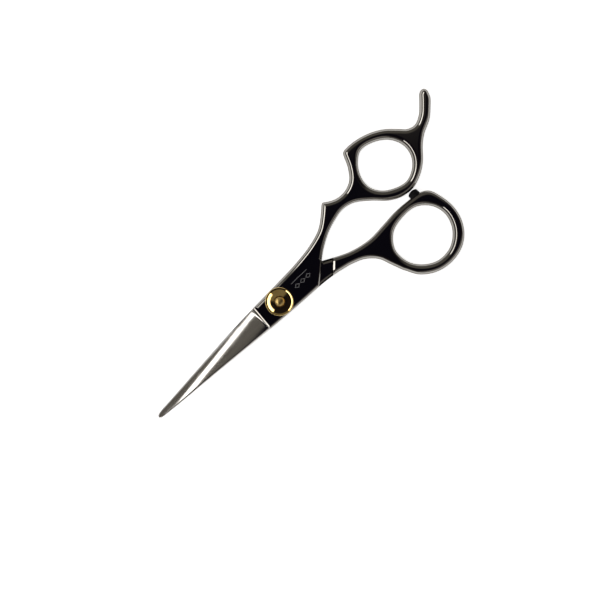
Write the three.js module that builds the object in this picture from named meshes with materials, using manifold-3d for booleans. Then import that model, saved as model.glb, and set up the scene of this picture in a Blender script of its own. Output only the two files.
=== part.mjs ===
// Hair cutting shears: two forged halves on one pivot, tension dial, and a bumper between the rings.
// Millimetres. The origin is on the pivot axis at the resting plane (the flush face of the pivot stud).
// +X runs to the tips, +Y to the thumb ring, +Z up to the dial.
import * as THREE from 'three';
import { mergeVertices } from 'three/addons/utils/BufferGeometryUtils.js';
import Module from 'manifold-3d';

const wasm = await Module();
wasm.setup();

// ---- driving dimensions ----
const THICKNESS = 5.35;          // handles, from the resting plane to the top
const THUMB_TOP = 2.6;           // inner face of the thumb half at the pivot
const FINGER_BOTTOM = 2.75;      // inner face of the finger half at the pivot
const BLADE_SET = 0.06;          // how far each blade leans in to meet the other at the tip
const RICASSO_END = 8.4;         // where the flat ricasso stops and the ground blade starts
const BLADE_ROOT_THICK = 2.45;
const BLADE_TIP_THICK = 1.1;
const BLADE_MIDLINE = 0.42;      // share of the width, from the edge, that the tip closes towards
const TIP_BLUNTNESS = 0.3;       // share of the width left at the very tip
const TIP_ROUNDING = 1.6;
// Spine and cutting edge of each blade, as y = start + slope * u + bend * u * u, u from the ricasso's end.
const FINGER_SPINE = { start: 4.6, slope: -0.0766, bend: -0.00014 };
const FINGER_EDGE = { start: -4.62, slope: 0.0755, bend: 0 };
const THUMB_SPINE = { start: 4.6, slope: -0.046, bend: -0.00057 };
const THUMB_EDGE = { start: -3.95, slope: 0.0775, bend: 0 };
const TIP_X = 56.9;
const ROUND = 32;                // sides on small round pieces
const SPAN_STEPS = 3;            // straight pieces per spline span
const DOME_STEPS = 5;
const FIT = 0.05;                // clearance between assembled pieces

const STUD_HEAD_R = 3.5;
const STUD_HEAD_H = 0.9;
const STUD_NECK_R = 2.0;
const STUD_FLAT_HALF = 1.5;
const STUD_THREAD_R = 1.5;
const STUD_TOP = 7.0;
const TAP_DEPTH = 3;
const BUSHING_R = 2.6;
const BUSHING_FIT = { bore: 0.06, under: 0.12, over: 0.02 };
const WASHER_R = 4.3;
const WASHER_H = 0.4;
const WASHER_LIFT = 0.03;         // gap under the washer
const WASHER_Z = THUMB_TOP + WASHER_LIFT;
const POCKET_TOP = WASHER_Z + WASHER_H + FIT;
const PLATE_R = 3.9;
const PLATE_H = 0.3;
const PLATE_NOTCHES = 12;
const NOTCH_R = 0.28;
const SPRING_OUT_R = 3.4;
const SPRING_IN_R = 2.3;
const SPRING_THICK = 0.12;
const SPRING_WAVE = 0.07;
const SPRING_WAVES = 3;
const DIAL_R = 4.8;
const DIAL_TEETH = 44;
const DIAL_TOOTH = 0.14;
const DIAL_RIM_Z = 7.0;
const DIAL_TOP = 7.75;
const DIAL_LIFT = 0.1;           // gap between the dial's skirt and the ricasso
const DIAL_CHAMFER = 0.25;
const DIAL_LIP = 0.5;            // width of the raised rim
const DIAL_GROOVE = 0.15;        // width and depth of the step inside the rim
const DIAL_MIDWAY_R = 3;
const SCREW_HEAD_R = 1.65;
const SCREW_SHANK_R = 0.75;
const SCREW_TOP = 8.3;
const SCREW_LENGTH = 2;          // shank below the stud's end
const SCREW_SEAT = 0.25;         // head above the stud's end
const SCREW_WALL = 0.25;
const SEAT_DEPTH = 0.18;         // floor of the dial's recess above the stud's end

const BUMPER_X = -58.2;
const BUMPER_NOSE_Y = 4.05;
const BUMPER_SEAT_Y = 6.6;
const BUMPER_Z0 = 0.7;
const BUMPER_STEM_R = 0.8;
const BUMPER_STEM_END = 8.5;
const BUMPER_STEM_REACH = 1.5;   // stem inside the rubber
const BUMPER_HALF_BASE = 1.95;
const BUMPER_HALF_NOSE = 1.5;
const BUMPER_NOSE_BULGE = 0.5;
const BUMPER_SEAT_MARGIN = 0.15;

// The shoulder where each half drops from handle thickness to half thickness, on the thumb side.
const SHOULDER = { x: -20.9, y: 4.15, angle: THREE.MathUtils.degToRad(45.7) };

// ---- outlines, as runs of points joined by smooth curves; a run's end is a corner ----
const fingerRuns = [
  [[RICASSO_END, 4.6], [0.4, 5.15], [-8.5, 5.6], [-13.2, 5.8]],
  [[-13.2, 5.8], [-16.8, 2.7], [-20.3, -0.3]],
  [[-20.3, -0.3], [-23.4, -2.5], [-28.6, -5.4], [-32.8, -6.8], [-37.2, -7.6], [-41.5, -6.5],
    [-46.3, -2.9], [-50.6, 1.2], [-54.6, 3.3], [-59.5, 3.85], [-64.3, 2.3], [-68, -0.2],
    [-72.1, -4.5], [-75, -6.8], [-79.7, -9.1], [-83.1, -12.1], [-85.1, -14.3], [-86, -16.6]],
  [[-86, -16.6], [-85.9, -17.6], [-85.1, -18.1], [-84.1, -18.2], [-83, -17.8]],
  [[-83, -17.8], [-80.8, -15.4], [-78, -12.8], [-74.7, -11.4], [-72, -12.2], [-69.8, -14.3],
    [-66.5, -17.4], [-62.7, -19.7], [-58.5, -21.2], [-54.5, -21.9], [-51.3, -21.9]],
  [[-51.3, -21.9], [-50.6, -21.4], [-50.1, -20.8]],
  [[-50.1, -20.8], [-48.3, -16.8], [-45.6, -13.3], [-42.2, -11.75], [-38.5, -11.8],
    [-35.8, -12.9], [-34.3, -13.9]],
  [[-34.3, -13.9], [-33.7, -14.15], [-33.1, -13.9]],
  [[-33.1, -13.9], [-29.9, -11.1], [-26.3, -8.5], [-20.6, -6.7], [-13.2, -5.6], [-4, -5.1],
    [4, -4.85], [RICASSO_END, -4.7]],
];
const fingerHole = [
  [-58.7, 0.45], [-63, -0.8], [-66.3, -4.2], [-67.2, -8.8], [-65.1, -13.6], [-60.6, -16.8],
  [-55.6, -17.8], [-51.9, -15.4], [-49.3, -11], [-49.1, -6.6], [-51.9, -2.4],
];
const thumbRuns = [
  [[RICASSO_END, -4.6], [0.2, -4.95], [-8.7, -5.3], [-13.2, -5.5]],
  [[-13.2, -5.5], [-16.8, -2.6], [-20.2, 0.1]],
  [[-20.2, 0.1], [-24.6, 2.4], [-28.7, 4.2], [-33, 5.4], [-37.4, 5.9], [-43.4, 5.6], [-49.4, 5.3],
    [-55.4, 5.6], [-60.2, 6.4], [-62.9, 8.2], [-64.5, 12.4], [-65.1, 17.5], [-64.1, 22.7],
    [-61.3, 27.1], [-57.1, 30], [-51.3, 31.1], [-45.4, 29.9], [-40.6, 26.5], [-37.5, 21.4],
    [-35.9, 17.3], [-34.2, 13.1], [-31.1, 10], [-27, 8.1], [-22.7, 7], [-17.5, 6.1], [-8.5, 5.5],
    [0.4, 5.05], [RICASSO_END, 4.5]],
];
const thumbHole = [
  [-50.7, 8.4], [-56, 9.15], [-60, 12.9], [-61.2, 18], [-59.1, 23.4], [-54.4, 26.95],
  [-48.8, 27.35], [-44, 24.8], [-40.9, 20.5], [-40.6, 14.6], [-44.4, 9.9],
];

// ---- helpers ----
const mix = (a, b, t) => a + (b - a) * t;

/** A smooth curve through points, as THREE.Vector2 list; open ends keep their corners. */
function smooth(points, closed) {
  const curve = new THREE.CatmullRomCurve3(points.map(([x, y]) => new THREE.Vector3(x, y, 0)), closed);
  const samples = curve.getPoints(points.length * SPAN_STEPS);
  samples.pop();
  return samples.map((p) => new THREE.Vector2(p.x, p.y));
}

function outline(runs) {
  return new THREE.Shape(runs.flatMap((run) => (run.length > 3 ? smooth(run, false) : corner(run))));
}

/** A short run keeps its own points, without the last, which starts the next run. */
function corner(run) {
  return run.slice(0, -1).map(([x, y]) => new THREE.Vector2(x, y));
}

/** Position-only geometry with shared vertices, facing out. */
function closedGeometry(geometry) {
  geometry.deleteAttribute('normal');
  geometry.deleteAttribute('uv');
  const merged = mergeVertices(geometry, 1e-4);
  const index = Array.from(merged.index.array);
  const kept = [];
  for (let i = 0; i < index.length; i += 3) {
    const [a, b, c] = index.slice(i, i + 3);
    if (a !== b && b !== c && a !== c) {
      kept.push(a, b, c);
    }
  }
  merged.setIndex(kept);
  if (signedVolume(merged) < 0) {
    for (let i = 0; i < kept.length; i += 3) {
      [kept[i + 1], kept[i + 2]] = [kept[i + 2], kept[i + 1]];
    }
    merged.setIndex(kept);
  }
  return merged;
}

function signedVolume(geometry) {
  const position = geometry.attributes.position;
  const index = geometry.index.array;
  const a = new THREE.Vector3();
  const b = new THREE.Vector3();
  const c = new THREE.Vector3();
  let sum = 0;
  for (let i = 0; i < index.length; i += 3) {
    a.fromBufferAttribute(position, index[i]);
    b.fromBufferAttribute(position, index[i + 1]);
    c.fromBufferAttribute(position, index[i + 2]);
    sum += a.dot(b.cross(c));
  }
  return sum / 6;
}

function toSolid(geometry) {
  const closed = closedGeometry(geometry);
  return new wasm.Manifold(new wasm.Mesh({
    numProp: 3,
    vertProperties: closed.attributes.position.array,
    triVerts: new Uint32Array(closed.index.array),
  }));
}

function toGeometry(solid) {
  const mesh = solid.getMesh();
  const geometry = new THREE.BufferGeometry();
  geometry.setAttribute('position', new THREE.BufferAttribute(new Float32Array(mesh.vertProperties), 3));
  geometry.setIndex(Array.from(mesh.triVerts));
  return geometry;
}

function slab(shape, z0, z1) {
  const options = { depth: z1 - z0, bevelEnabled: false, curveSegments: 8 };
  const geometry = new THREE.ExtrudeGeometry(shape, options);
  return toSolid(geometry.translate(0, 0, z0));
}

/** A solid of revolution about Z from a closed profile of [radius, z]. */
function turned(profile, sides = ROUND) {
  const points = [...profile, profile[0]].map(([r, z]) => new THREE.Vector2(r, z));
  return closedGeometry(new THREE.LatheGeometry(points, sides).rotateX(Math.PI / 2));
}

function cylinder(radius, z0, z1, sides = ROUND) {
  return toSolid(turned([[0, z0], [radius, z0], [radius, z1], [0, z1]], sides));
}

function box(x0, x1, y0, y1, z0, z1) {
  const geometry = new THREE.BoxGeometry(x1 - x0, y1 - y0, z1 - z0);
  return toSolid(geometry.translate((x0 + x1) / 2, (y0 + y1) / 2, (z0 + z1) / 2));
}

/** The block in front of a half's shoulder; side is 1 on the thumb side and -1 on the finger side. */
function shoulderCutter(side, z0, z1) {
  const size = 120;
  const geometry = new THREE.BoxGeometry(size, size, z1 - z0);
  geometry.translate(0, -size / 2, (z0 + z1) / 2);
  geometry.rotateZ(SHOULDER.angle);
  geometry.translate(SHOULDER.x, SHOULDER.y, 0);
  if (side < 0) {
    geometry.scale(1, -1, 1);
  }
  return toSolid(geometry);
}

const BLADE_STATIONS = [7.6, 12, 18, 24, 30, 36, 42, 48, 52, 54.5, 55.8, 56.5, TIP_X];
// Cross-section as [share from edge to spine, share of the thickness].
const BLADE_SECTION = [[1, 0], [1, 0.72], [0.93, 0.95], [0.62, 1], [0.3, 0.66], [0, 0.1], [0, 0]];

function bladeSection(x, spineY, edgeY) {
  const along = (x - RICASSO_END) / (TIP_X - RICASSO_END);
  const thick = mix(BLADE_ROOT_THICK, BLADE_TIP_THICK, along);
  const toTip = Math.min(1, (TIP_X - x) / TIP_ROUNDING);
  const open = mix(TIP_BLUNTNESS, 1, Math.sqrt(1 - (1 - toTip) ** 2));
  const middle = mix(edgeY, spineY, BLADE_MIDLINE);
  const spine = mix(middle, spineY, open);
  const edge = mix(middle, edgeY, open);
  const lean = BLADE_SET * Math.max(0, along);
  return BLADE_SECTION.map(([across, up]) => [mix(edge, spine, across), up * thick - lean]);
}

function lineAt(line, x) {
  const u = x - RICASSO_END;
  return line.start + line.slope * u + line.bend * u ** 2;
}

/** The ground blade, from its spine and edge lines, inner face down at zero height. */
function blade(spine, edge) {
  const sections = BLADE_STATIONS.map((x) => bladeSection(x, lineAt(spine, x), lineAt(edge, x)));
  const count = sections[0].length;
  const vertices = sections.flatMap((section, i) => section.flatMap(([y, z]) => [BLADE_STATIONS[i], y, z]));
  const faces = [];
  for (let i = 0; i + 1 < sections.length; i += 1) {
    for (let j = 0; j < count; j += 1) {
      const next = (j + 1) % count;
      const a = i * count + j;
      const b = i * count + next;
      faces.push(a, a + count, b, b, a + count, b + count);
    }
  }
  const last = (sections.length - 1) * count;
  for (let j = 1; j + 1 < count; j += 1) {
    faces.push(0, j, j + 1, last, last + j + 1, last + j);
  }
  const geometry = new THREE.BufferGeometry();
  geometry.setAttribute('position', new THREE.BufferAttribute(new Float32Array(vertices), 3));
  geometry.setIndex(faces);
  return geometry;
}

// ---- the two halves ----
/** Round hole with two flats, which keys the stud and the click plate. */
function flattedHole(clearance, z0, z1) {
  const reach = STUD_NECK_R + 1;
  const flat = STUD_FLAT_HALF + clearance;
  return cylinder(STUD_NECK_R + clearance, z0, z1).intersect(box(-reach, reach, -flat, flat, z0, z1));
}

function makeFingerBlade() {
  const plan = outline(fingerRuns);
  const hole = slab(new THREE.Shape(smooth(fingerHole, true)), -1, THICKNESS + 1);
  const upper = slab(plan, FINGER_BOTTOM, THICKNESS);
  const lower = slab(plan, 0, FINGER_BOTTOM + FIT).subtract(shoulderCutter(-1, -1, THICKNESS));
  const ground = toSolid(blade(FINGER_SPINE, FINGER_EDGE).translate(0, 0, FINGER_BOTTOM));
  const pocket = cylinder(WASHER_R + FIT, FINGER_BOTTOM - 1, POCKET_TOP);
  return toGeometry(upper.add(lower).add(ground)
    .subtract(hole)
    .subtract(pocket)
    .subtract(flattedHole(FIT, FINGER_BOTTOM - 1, THICKNESS + 1)));
}

function makeThumbBlade() {
  const plan = outline(thumbRuns);
  const hole = slab(new THREE.Shape(smooth(thumbHole, true)), -1, THICKNESS + 1);
  const lower = slab(plan, 0, THUMB_TOP);
  const upper = slab(plan, THUMB_TOP - FIT, THICKNESS).subtract(shoulderCutter(1, 0, THICKNESS + 1));
  const turnedOver = blade(THUMB_SPINE, THUMB_EDGE).rotateX(Math.PI).translate(0, 0, THUMB_TOP);
  const halfSeat = BUMPER_HALF_BASE + BUMPER_SEAT_MARGIN;
  const seat = box(BUMPER_X - halfSeat, BUMPER_X + halfSeat, 0, BUMPER_SEAT_Y, -1, THICKNESS + 1);
  return toGeometry(lower.add(upper).add(toSolid(turnedOver))
    .subtract(hole)
    .subtract(cylinder(STUD_HEAD_R + 2 * FIT, -1, STUD_HEAD_H + 2 * FIT))
    .subtract(cylinder(BUSHING_R + FIT, 0, THUMB_TOP + 1))
    .subtract(seat)
    .subtract(bumperStem(BUMPER_STEM_R + FIT, BUMPER_STEM_END + 2 * FIT)));
}

// ---- pivot ----
const PLATE_TOP = THICKNESS + PLATE_H;

function makePivotStud() {
  const body = toSolid(turned([
    [0, 0], [STUD_HEAD_R, 0], [STUD_HEAD_R, STUD_HEAD_H], [STUD_NECK_R, STUD_HEAD_H],
    [STUD_NECK_R, PLATE_TOP], [STUD_THREAD_R, PLATE_TOP], [STUD_THREAD_R, STUD_TOP], [0, STUD_TOP],
  ]));
  const reach = STUD_NECK_R + 1;
  const sides = [1, -1].map((side) => {
    const [y0, y1] = [side * STUD_FLAT_HALF, side * reach].sort((a, b) => a - b);
    return box(-reach, reach, y0, y1, POCKET_TOP - FIT, PLATE_TOP + 1);
  });
  const tapped = cylinder(SCREW_SHANK_R + FIT, STUD_TOP - TAP_DEPTH, STUD_TOP + 1, ROUND / 2);
  return toGeometry(body.subtract(sides[0]).subtract(sides[1]).subtract(tapped));
}

function ring(inner, outer, z0, z1) {
  return turned([[inner, z0], [outer, z0], [outer, z1], [inner, z1]]);
}

function makePivotBushing() {
  const { bore, under, over } = BUSHING_FIT;
  return ring(STUD_NECK_R + bore, BUSHING_R, STUD_HEAD_H + under, THUMB_TOP - over);
}

function makeBladeWasher() {
  return ring(STUD_NECK_R + 2 * FIT, WASHER_R, WASHER_Z, WASHER_Z + WASHER_H);
}

/** Keyed washer with a ring of click notches in its rim. */
function makeClickPlate() {
  let plate = cylinder(PLATE_R, THICKNESS, PLATE_TOP, 4 * PLATE_NOTCHES)
    .subtract(flattedHole(FIT, THICKNESS - 1, PLATE_TOP + 1));
  for (let i = 0; i < PLATE_NOTCHES; i += 1) {
    const angle = (i / PLATE_NOTCHES) * 2 * Math.PI;
    const notch = new THREE.CylinderGeometry(NOTCH_R, NOTCH_R, 2, 8).rotateX(Math.PI / 2);
    notch.translate(PLATE_R * Math.cos(angle), PLATE_R * Math.sin(angle), PLATE_TOP);
    plate = plate.subtract(toSolid(notch));
  }
  return toGeometry(plate);
}

/** Thin ring bent into waves, between the click plate and the dial. */
function makeWaveSpring() {
  const flat = ring(SPRING_IN_R, SPRING_OUT_R, -SPRING_THICK / 2, SPRING_THICK / 2);
  const position = flat.attributes.position;
  const middle = PLATE_TOP + SPRING_THICK / 2 + SPRING_WAVE + FIT;
  for (let i = 0; i < position.count; i += 1) {
    const angle = Math.atan2(position.getY(i), position.getX(i));
    position.setZ(i, position.getZ(i) + middle + SPRING_WAVE * Math.cos(SPRING_WAVES * angle));
  }
  return flat;
}

/** Knurled dial: a crowned conical face, a raised rim, and a hollow underneath over the plate and spring. */
function makeAdjusterDial() {
  const hollowTop = PLATE_TOP + SPRING_THICK + 2 * SPRING_WAVE + 2 * FIT;
  const hollowR = PLATE_R + 3 * FIT;
  const skirt = THICKNESS + DIAL_LIFT;
  const boreR = STUD_THREAD_R + FIT;
  const recess = STUD_TOP + SEAT_DEPTH;
  const lipR = DIAL_R - DIAL_LIP;
  const dial = turned([
    [boreR, hollowTop], [hollowR, hollowTop], [hollowR, skirt], [DIAL_R - DIAL_CHAMFER, skirt],
    [DIAL_R, skirt + DIAL_CHAMFER], [DIAL_R, DIAL_RIM_Z - DIAL_CHAMFER],
    [DIAL_R - DIAL_CHAMFER, DIAL_RIM_Z], [lipR, DIAL_RIM_Z],
    [lipR - DIAL_GROOVE, DIAL_RIM_Z - DIAL_GROOVE], [DIAL_MIDWAY_R, (DIAL_RIM_Z + DIAL_TOP) / 2],
    [SCREW_HEAD_R + 2 * FIT, DIAL_TOP], [SCREW_HEAD_R + FIT, recess], [boreR, recess],
  ], 2 * DIAL_TEETH);
  const position = dial.attributes.position;
  for (let i = 0; i < position.count; i += 1) {
    const x = position.getX(i);
    const y = position.getY(i);
    const tooth = Math.round((Math.atan2(y, x) / Math.PI) * DIAL_TEETH);
    if (Math.hypot(x, y) > DIAL_R - 0.01 && Math.abs(tooth) % 2 === 1) {
      const shrink = 1 - DIAL_TOOTH / DIAL_R;
      position.setXY(i, x * shrink, y * shrink);
    }
  }
  return dial;
}

/** Small domed screw that closes the dial's bore. */
function makeRetainingScrew() {
  const tip = STUD_TOP - SCREW_LENGTH;
  const seat = STUD_TOP + SCREW_SEAT;
  const wall = seat + SCREW_WALL;
  const dome = [];
  for (let i = 0; i <= DOME_STEPS; i += 1) {
    const angle = (i / DOME_STEPS) * (Math.PI / 2);
    dome.push([SCREW_HEAD_R * Math.cos(angle), wall + (SCREW_TOP - wall) * Math.sin(angle)]);
  }
  dome[dome.length - 1][0] = 0;
  return turned([
    [0, tip], [SCREW_SHANK_R, tip], [SCREW_SHANK_R, seat], [SCREW_HEAD_R, seat],
    ...dome,
  ]);
}

// ---- bumper ----
function bumperStem(radius, endY) {
  const start = BUMPER_SEAT_Y - BUMPER_STEM_REACH;
  const geometry = new THREE.CylinderGeometry(radius, radius, endY - start, ROUND / 2);
  return toSolid(geometry.translate(BUMPER_X, (start + endY) / 2, THICKNESS / 2));
}

/** Rubber block, wide at its seat and narrower at its rounded nose. */
function makeBumper() {
  const base = BUMPER_SEAT_Y - FIT;
  const noseSide = BUMPER_NOSE_Y + BUMPER_NOSE_BULGE;
  const shape = new THREE.Shape();
  shape.moveTo(BUMPER_X - BUMPER_HALF_BASE, base);
  shape.lineTo(BUMPER_X + BUMPER_HALF_BASE, base);
  shape.lineTo(BUMPER_X + BUMPER_HALF_NOSE, noseSide);
  shape.quadraticCurveTo(BUMPER_X, BUMPER_NOSE_Y - BUMPER_NOSE_BULGE, BUMPER_X - BUMPER_HALF_NOSE, noseSide);
  const block = slab(shape, BUMPER_Z0, THICKNESS - BUMPER_Z0);
  return toGeometry(block.subtract(bumperStem(BUMPER_STEM_R + FIT, BUMPER_SEAT_Y + 1)));
}

function makeBumperStud() {
  return toGeometry(bumperStem(BUMPER_STEM_R, BUMPER_STEM_END)
    .subtract(box(BUMPER_X - 2, BUMPER_X + 2, 0, BUMPER_SEAT_Y - BUMPER_STEM_REACH + 2 * FIT, 0, THICKNESS)));
}

// ---- materials ----
const steel = (color) => new THREE.MeshStandardMaterial({ color, metalness: 1, roughness: 0.12 });
const gold = () => new THREE.MeshStandardMaterial({ color: 0xd9b35a, metalness: 1, roughness: 0.15 });
const rubber = () => new THREE.MeshStandardMaterial({ color: 0x0c0c0d, metalness: 0, roughness: 0.65 });
const acetal = () => new THREE.MeshStandardMaterial({ color: 0xe8e4d8, metalness: 0, roughness: 0.4 });

// ---- assembly ----
const shears = new THREE.Group();

function addPiece(name, geometry, material) {
  const piece = new THREE.Mesh(geometry, material);
  piece.name = name;
  shears.add(piece);
}

addPiece('finger_blade', makeFingerBlade(), steel(0x9a9ca2));
addPiece('thumb_blade', makeThumbBlade(), steel(0x9a9ca2));
addPiece('pivot_stud', makePivotStud(), steel(0xb4b5b8));
addPiece('pivot_bushing', makePivotBushing(), acetal());
addPiece('blade_washer', makeBladeWasher(), acetal());
addPiece('click_plate', makeClickPlate(), steel(0xb4b5b8));
addPiece('wave_spring', makeWaveSpring(), steel(0x8f9196));
addPiece('adjuster_dial', makeAdjusterDial(), gold());
addPiece('retaining_screw', makeRetainingScrew(), gold());
addPiece('bumper', makeBumper(), rubber());
addPiece('bumper_stud', makeBumperStud(), steel(0xb4b5b8));

export default shears;
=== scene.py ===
"""Looks of the hair cutting shears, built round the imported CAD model.

Frame: origin on the pivot axis at the resting plane, +X to the tips, +Y to the thumb ring, +Z up.
Shapes are worked out in millimetres, and MM turns them into metres where a mesh is made.
"""
import math

import bmesh
import bpy
import numpy as np
from mathutils import Matrix, Vector
from mathutils.geometry import delaunay_2d_cdt


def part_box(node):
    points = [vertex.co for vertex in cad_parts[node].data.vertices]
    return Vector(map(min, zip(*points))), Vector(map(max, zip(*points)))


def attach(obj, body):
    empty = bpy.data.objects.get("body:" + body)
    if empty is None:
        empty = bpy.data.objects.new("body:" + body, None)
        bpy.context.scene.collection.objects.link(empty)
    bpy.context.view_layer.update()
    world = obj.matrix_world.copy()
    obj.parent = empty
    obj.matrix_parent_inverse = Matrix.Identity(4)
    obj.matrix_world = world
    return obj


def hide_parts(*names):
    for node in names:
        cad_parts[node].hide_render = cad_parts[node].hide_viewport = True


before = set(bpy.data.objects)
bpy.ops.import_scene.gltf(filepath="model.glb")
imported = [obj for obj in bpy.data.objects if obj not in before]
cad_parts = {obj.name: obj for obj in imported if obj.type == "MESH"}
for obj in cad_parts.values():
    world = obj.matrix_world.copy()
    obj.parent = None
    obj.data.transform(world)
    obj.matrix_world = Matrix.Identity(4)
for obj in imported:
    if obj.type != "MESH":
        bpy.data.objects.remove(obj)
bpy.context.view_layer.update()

MM = 0.001


def node_box(name):
    """A CAD node's lowest and highest corners, in millimetres."""
    low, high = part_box(name)
    return np.array(low) / MM, np.array(high) / MM


# ------------------------------------------------------------------ driving sizes, from the frame
_, FINGER_HIGH = node_box("finger_blade")
DIAL_LOW, DIAL_HIGH = node_box("adjuster_dial")
SCREW_LOW, SCREW_HIGH = node_box("retaining_screw")
_, BUSH_HIGH = node_box("pivot_bushing")
STUD_LOW, STUD_HIGH = node_box("pivot_stud")
BUMPER_LOW, BUMPER_HIGH = node_box("bumper")
PLATE_LOW, PLATE_HIGH = node_box("click_plate")

THICK = FINGER_HIGH[2]            # handle thickness
HALF_GAP = 0.075                  # each inner face's distance from the middle plane at the pivot
MIDDLE = THICK / 2
TIP_X = FINGER_HIGH[0]
RICASSO_END = 8.4                 # where the ground blade starts
HANDLE_ROUND = 1.55               # width of the edge rounding on the rings and shanks
RICASSO_ROUND = 1.3               # the same by the pivot
SPINE_ROUND = 1.08                # on the finger half's spine side, where it meets the shoulder
STEP_ROUND = 0.7                  # along the diagonal shoulders
FACET_SLOPE = 0.42                # a rounding starts as a gentle polished facet
FACET_EASE = 0.1                  # share of the width that eases into the facet
CURVE_START = 0.27                # share of the width, from inside, where facet turns into curve
CURVE_DEPTH = 1.42                # depth of the curve over its width
CUT_EDGE = 0.1                    # thickness left at the cutting edge
BLADE_SET = 0.06                  # how far each inner face leans towards the other by the tip
HOLLOW_DEPTH = 0.16               # depth of the hollow grind on the inner faces
HOLLOW_LIMIT = 0.5                # it takes at most this share of the metal
NECK_HOLE_R = 2.05                # hole for the stud's neck in the finger half
NECK_HOLE_ROUND, BUSH_HOLE_ROUND = 0.15, 0.1
BUSH_GAP = 0.05                   # clearance round the bushing
HEAD_GAP = 0.1                    # clearance round the stud's flush head
HEAD_SEAT = 1.0                   # height of the bore for that head
HEAD_BEVEL = 0.1                  # height of the bevel at the bore's mouth
BORE_ROWS = (0, 0.04, 0.16)       # rows round the bore: its wall's two sides and the bevel's outside
INNER_EDGE_LEFT = 0.3             # metal kept beside a rounding on the thumb half's inner face
INNER_EDGE_SHARE = 0.8            # such a rounding's depth over an outer one's

# ------------------------------------------------------------------ outlines
# Each run is (edge rounding at its start, at its end, points); runs meet at corners.
FINGER_RUNS = [
    (0.5, SPINE_ROUND, [(54.6, 0.8), (48, 1.38), (38, 2.12), (28, 2.9), (18, 3.75), (8.4, 4.55), (0.4, 5.1),
                          (-8.5, 5.52), (-13.2, 5.7)]),
    (STEP_ROUND, STEP_ROUND, [(-13.2, 5.7), (-16.8, 2.75), (-20.3, -0.35)]),
    (RICASSO_ROUND, HANDLE_ROUND, [(-20.3, -0.35), (-23.4, -2.6), (-28.6, -5.45), (-32.8, -6.85),
                                   (-37.2, -7.62), (-41.5, -6.6), (-46.3, -3), (-50.6, 1.1), (-54.6, 3.2),
                                   (-59.5, 3.75), (-64.3, 2.2), (-68, -0.3), (-72.1, -4.6), (-75, -6.85),
                                   (-79.7, -9.2), (-83.1, -12.2), (-85.1, -14.4), (-86, -16.6)]),
    (HANDLE_ROUND, HANDLE_ROUND, [(-86, -16.6), (-85.85, -17.6), (-85.3, -18.2), (-84.1, -18.35),
                                  (-83, -17.75)]),
    (HANDLE_ROUND, HANDLE_ROUND, [(-83, -17.75), (-80.8, -15.35), (-78, -12.75), (-74.7, -11.35),
                                  (-72, -12.1), (-69.8, -14.2), (-66.5, -17.3), (-62.7, -19.6),
                                  (-58.5, -21.1), (-54.5, -21.8), (-51.3, -21.8)]),
    (HANDLE_ROUND, HANDLE_ROUND, [(-51.3, -21.8), (-50.6, -21.4), (-50.1, -20.8)]),
    (HANDLE_ROUND, HANDLE_ROUND, [(-50.1, -20.8), (-48.3, -16.75), (-45.6, -13.25), (-42.2, -11.7),
                                  (-38.5, -11.75), (-35.8, -12.85), (-34.3, -13.85)]),
    (HANDLE_ROUND, HANDLE_ROUND, [(-34.3, -13.85), (-33.7, -14.1), (-33.1, -13.85)]),
    (HANDLE_ROUND, RICASSO_ROUND, [(-33.1, -13.85), (-29.9, -11), (-26.3, -8.45), (-20.6, -6.62),
                                   (-13.2, -5.55), (-4, -5.08), (3, -4.85), (7.2, -4.7)]),
    (0.3, 0.12, [(7.2, -4.7), (20, -3.72), (35, -2.58), (50, -1.45), (55.6, -1.03)]),
    (0.2, 0.3, [(55.6, -1.03), (56.55, -0.75), (56.88, -0.2), (56.5, 0.35), (55.8, 0.62), (54.6, 0.8)]),
]
FINGER_HOLE = [(-58.7, 0.45), (-63, -0.8), (-66.3, -4.2), (-67.2, -8.8), (-65.1, -13.6), (-60.6, -16.8),
               (-55.6, -17.8), (-51.9, -15.4), (-49.3, -11), (-49.1, -6.6), (-51.9, -2.4)]
THUMB_RUNS = [
    (0.5, RICASSO_ROUND, [(54.6, -1.3), (48.5, -1.8), (38, -2.7), (28, -3.48), (18, -4.18), (8.4, -4.6),
                          (0.2, -4.92), (-8.7, -5.28), (-13.2, -5.45)]),
    (STEP_ROUND, STEP_ROUND, [(-13.2, -5.45), (-16.8, -2.6), (-20.2, 0.15)]),
    (RICASSO_ROUND, HANDLE_ROUND, [(-20.2, 0.15), (-24.6, 2.45), (-28.7, 4.25), (-33, 5.45), (-37.4, 6.02),
                                   (-43.4, 5.67), (-49.4, 5.27), (-55.4, 5.65), (-60.2, 6.45), (-62.9, 8.25),
                                   (-64.4, 12.4), (-65, 17.5), (-64, 22.6), (-61.25, 27), (-57.1, 29.9),
                                   (-51.3, 31), (-45.4, 29.8), (-40.6, 26.4), (-37.6, 21.3)]),
    (HANDLE_ROUND, RICASSO_ROUND, [(-37.6, 21.3), (-36, 17.2), (-34.3, 13), (-31.1, 9.9), (-27, 8.05),
                                   (-22.7, 6.95), (-17.5, 6.05), (-8.5, 5.45), (0.4, 5.02), (7.2, 4.6)]),
    (0.3, 0.12, [(7.2, 4.6), (8.4, 3.95), (20, 3.05), (35, 1.9), (50, 0.72), (55.6, 0.3)]),
    (0.2, 0.3, [(55.6, 0.3), (56.5, 0.1), (56.88, -0.4), (56.5, -0.9), (55.8, -1.15), (54.6, -1.3)]),
]
THUMB_HOLE = [(-50.7, 8.4), (-56, 9.15), (-60, 12.9), (-61.2, 18), (-59.1, 23.4), (-54.4, 26.95),
              (-48.8, 27.35), (-44, 24.8), (-40.9, 20.5), (-40.6, 14.6), (-44.4, 9.9)]

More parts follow.
